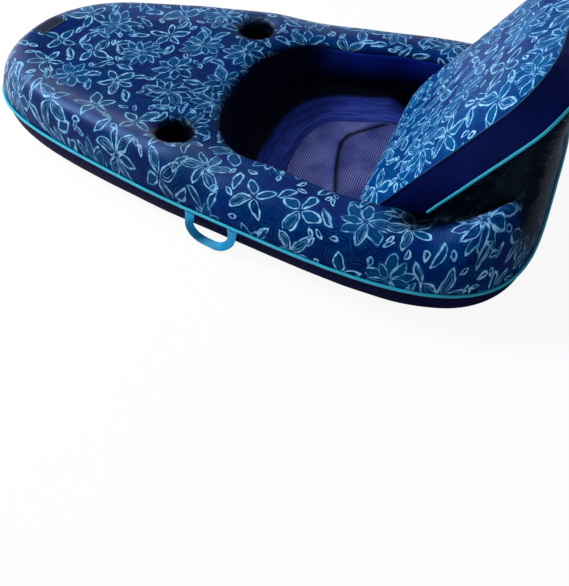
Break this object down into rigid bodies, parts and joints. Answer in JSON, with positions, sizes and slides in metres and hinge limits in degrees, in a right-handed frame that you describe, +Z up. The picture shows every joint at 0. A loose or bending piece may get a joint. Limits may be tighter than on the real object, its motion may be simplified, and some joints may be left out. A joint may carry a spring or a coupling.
{
  "type": "inflatable pool chair",
  "caption": "Fabric-covered inflatable lounge ring with a net seat, a reclined backrest, cup wells in a wide foot deck, side grab handles and capped air valves.",
  "frame": {"origin": "middle of the footprint, on the surface that the chair stands on", "axes": "+X from the foot end to the head end, +Y to the sitter's right-hand side when facing the foot, +Z up"},
  "size_m": [1.8402, 1.1064, 0.6776],
  "materials": {
    "printed_polyester": "printed woven polyester with a soft sheen, floral line pattern in light blue and teal on deep blue",
    "well_polyester": "plain dark navy woven polyester",
    "navy_polyester": "plain navy woven polyester",
    "border_net": "dark blue open knit net",
    "seat_net": "violet blue open knit net",
    "cyan_piping": "corded fabric piping",
    "cyan_webbing": "flat woven webbing",
    "bladder_vinyl": "welded translucent vinyl sheet",
    "cup_vinyl": "thermoformed dark vinyl",
    "valve_plastic": "soft moulded vinyl"
  },
  "bodies": {
    "root": {"top_cover": "printed_polyester", "well_wall": "well_polyester", "bottom_cover": "navy_polyester", "riser_panel": "navy_polyester", "deck_bladder": "bladder_vinyl", "far_side_bladder": "bladder_vinyl", "near_side_bladder": "bladder_vinyl", "rear_bladder": "bladder_vinyl", "backrest_panel": "printed_polyester", "backrest_gusset": "navy_polyester", "backrest_bladder": "bladder_vinyl", "seat_border": "border_net", "seat_mesh": "seat_net", "seam_piping": "cyan_piping", "backrest_piping": "cyan_piping", "far_cup_liner": "cup_vinyl", "near_cup_liner": "cup_vinyl", "ring_valve_base": "valve_plastic", "ring_valve_insert": "valve_plastic", "backrest_valve_base": "valve_plastic", "backrest_valve_insert": "valve_plastic", "deck_web_1": "bladder_vinyl", "deck_web_2": "bladder_vinyl", "deck_web_3": "bladder_vinyl", "backrest_web_1": "bladder_vinyl", "backrest_web_2": "bladder_vinyl", "backrest_web_3": "bladder_vinyl", "riser_web_1": "bladder_vinyl", "riser_web_2": "bladder_vinyl"},
    "far_handle": {"far_handle": "cyan_webbing"},
    "near_handle": {"near_handle": "cyan_webbing"},
    "ring_valve_cap": {"ring_valve_cap": "valve_plastic"},
    "backrest_valve_cap": {"backrest_valve_cap": "valve_plastic"}
  },
  "joints": [
    {"name": "far_handle_swing", "type": "hinge", "parent": "root", "child": "far_handle", "pos_m": [0.02931, 0.49078, 0.0962], "axis": [0.9863, 0.165, 0], "range_deg": [-10, 95]},
    {"name": "near_handle_swing", "type": "hinge", "parent": "root", "child": "near_handle", "pos_m": [0.02931, -0.49078, 0.0962], "axis": [-0.9863, 0.165, 0], "range_deg": [-10, 95]},
    {"name": "ring_valve_cap_hinge", "type": "hinge", "parent": "root", "child": "ring_valve_cap", "pos_m": [0.87982, 0, 0.25221], "axis": [0, 1, 0], "range_deg": [0, 120]},
    {"name": "backrest_valve_cap_hinge", "type": "hinge", "parent": "root", "child": "backrest_valve_cap", "pos_m": [0.65377, 0.3518, 0.35875], "axis": [-0.7986, 0, 0.6018], "range_deg": [0, 120]}
  ]
}
